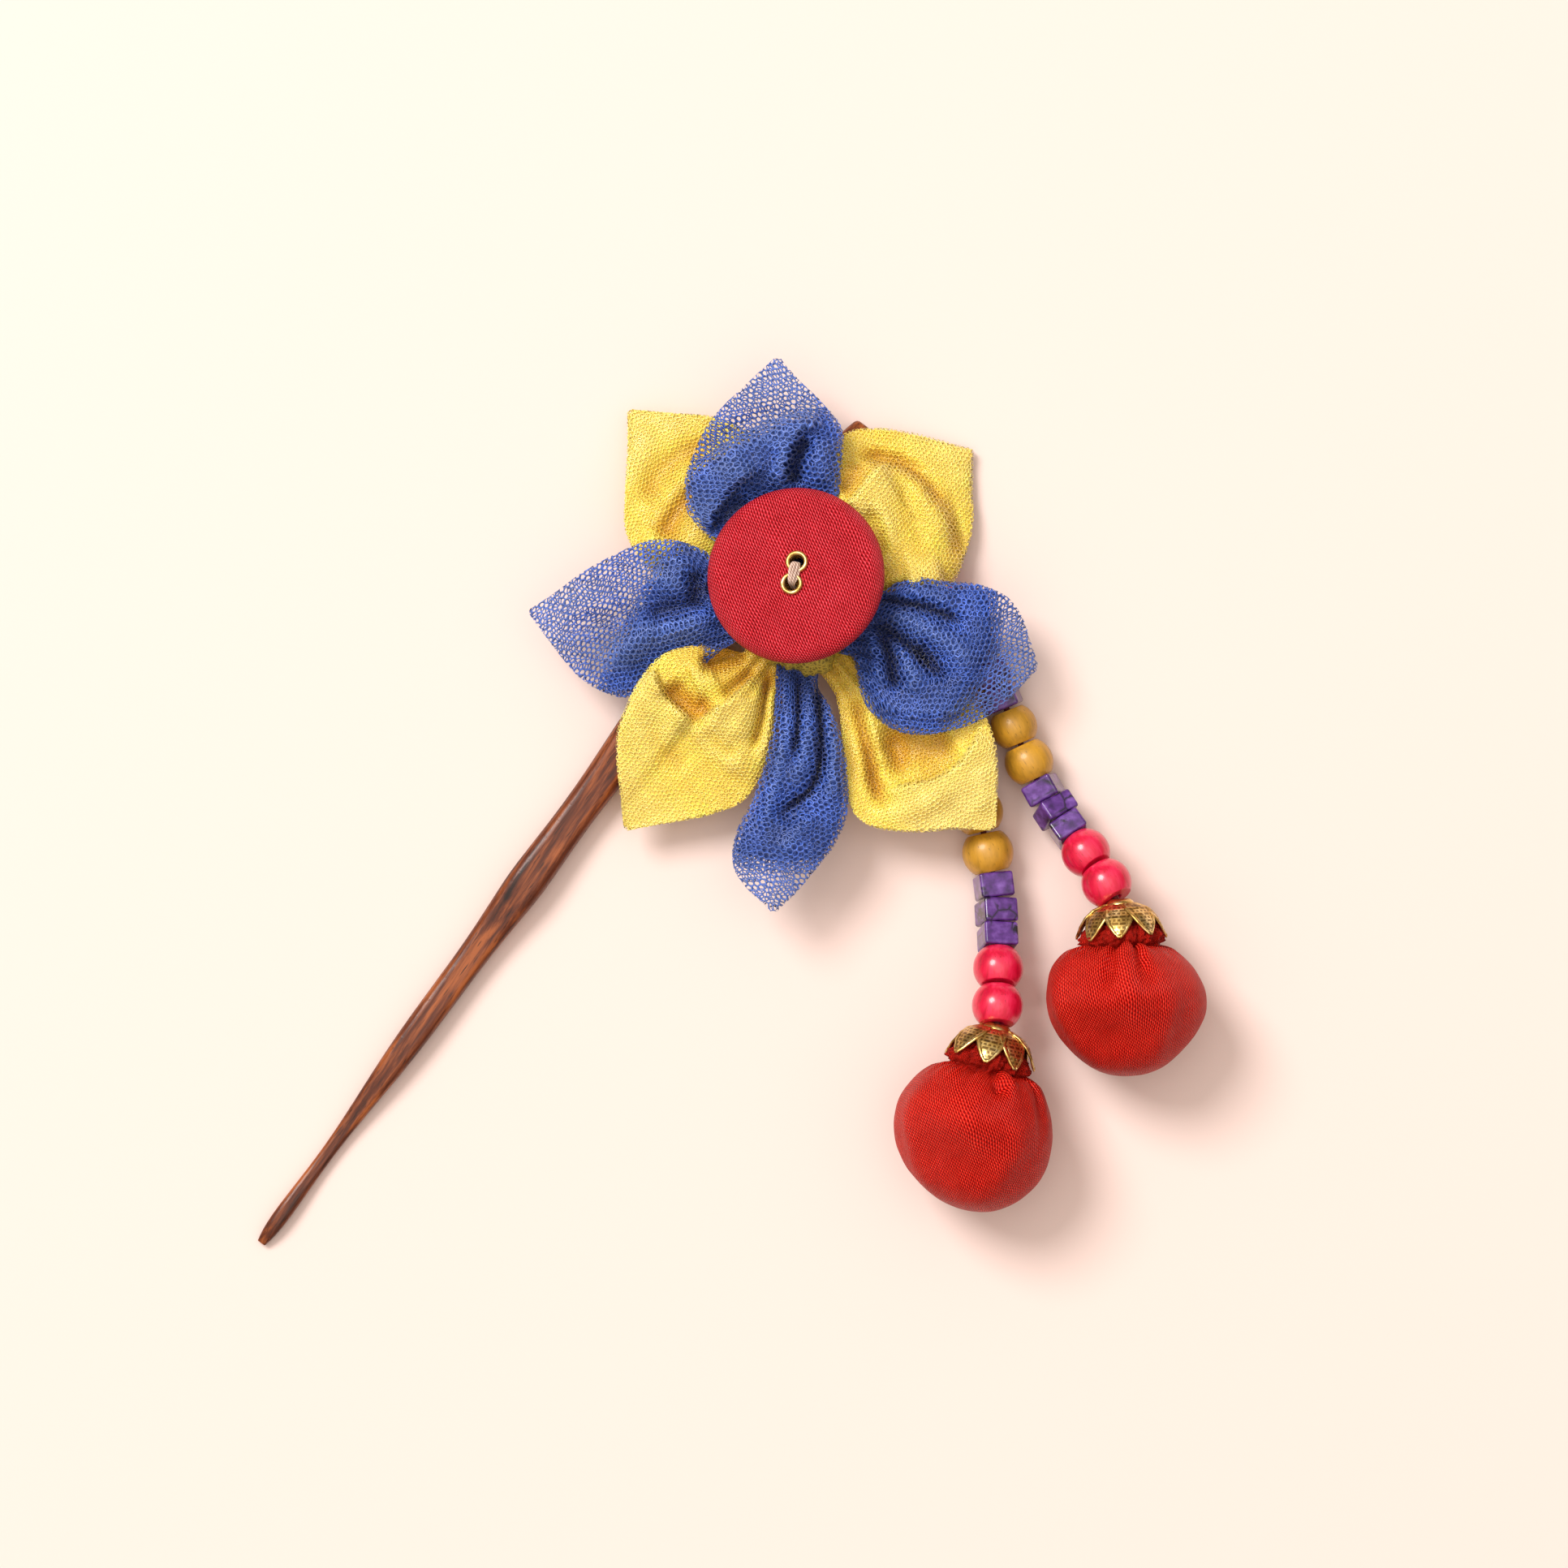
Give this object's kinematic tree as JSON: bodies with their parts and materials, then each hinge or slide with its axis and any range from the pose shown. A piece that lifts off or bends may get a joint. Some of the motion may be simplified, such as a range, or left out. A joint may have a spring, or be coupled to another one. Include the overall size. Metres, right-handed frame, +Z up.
{
  "type": "hair stick",
  "caption": "Tapered wooden hair stick with a flower of folded net petals, a fabric covered button at its middle and beaded strands that end in stuffed fabric balls.",
  "frame": {"origin": "middle of the bounding box on the surface that the hair stick lies on", "axes": "+X to the right of the lying object, from the stick point towards the balls, +Y from the stick point towards its head, +Z up off the surface"},
  "size_m": [0.1514, 0.1414, 0.026],
  "materials": {
    "wood_stick": "satin brown wood with darker streaks",
    "button_fabric": "crimson twill, stretched",
    "brass": "aged brass with a raised pattern",
    "sewing_thread": "pale twisted thread",
    "core_fabric": "gathered yellow fabric",
    "blue_net": "open hexagonal net, blue",
    "yellow_net": "fine glossy net, yellow",
    "yellow_wood": "ochre stained wood, satin",
    "purple_stone": "purple dyed stone with dark veins, polished",
    "pink_wood": "pink stained wood, glossy",
    "red_fabric": "plain woven red fabric with a sheen",
    "bead_thread": "dark red cord"
  },
  "bodies": {
    "root": {"stick": "wood_stick", "flower_core": "core_fabric", "button": "button_fabric", "button_eyelet_upper": "brass", "button_eyelet_lower": "brass", "button_thread": "sewing_thread", "petal_blue_top": "blue_net", "petal_blue_left": "blue_net", "petal_blue_bottom": "blue_net", "petal_blue_right": "blue_net", "petal_yellow_upper_left": "yellow_net", "petal_yellow_upper_right": "yellow_net", "petal_yellow_lower_left": "yellow_net", "petal_yellow_lower_right": "yellow_net", "inner_pink_1": "pink_wood", "inner_pink_2": "pink_wood", "inner_pink_3": "pink_wood", "inner_pink_4": "pink_wood", "inner_purple_1": "purple_stone", "inner_purple_2": "purple_stone", "inner_purple_3": "purple_stone", "inner_purple_4": "purple_stone", "inner_purple_5": "purple_stone", "inner_purple_6": "purple_stone", "inner_yellow_1": "yellow_wood", "inner_yellow_2": "yellow_wood", "inner_thread": "bead_thread", "inner_cap": "brass", "inner_ball": "red_fabric", "outer_pink_1": "pink_wood", "outer_pink_2": "pink_wood", "outer_pink_3": "pink_wood", "outer_pink_4": "pink_wood", "outer_purple_1": "purple_stone", "outer_purple_2": "purple_stone", "outer_purple_3": "purple_stone", "outer_purple_4": "purple_stone", "outer_purple_5": "purple_stone", "outer_purple_6": "purple_stone", "outer_yellow_1": "yellow_wood", "outer_yellow_2": "yellow_wood", "outer_thread": "bead_thread", "outer_cap": "brass", "outer_ball": "red_fabric"}
  },
  "joints": []
}
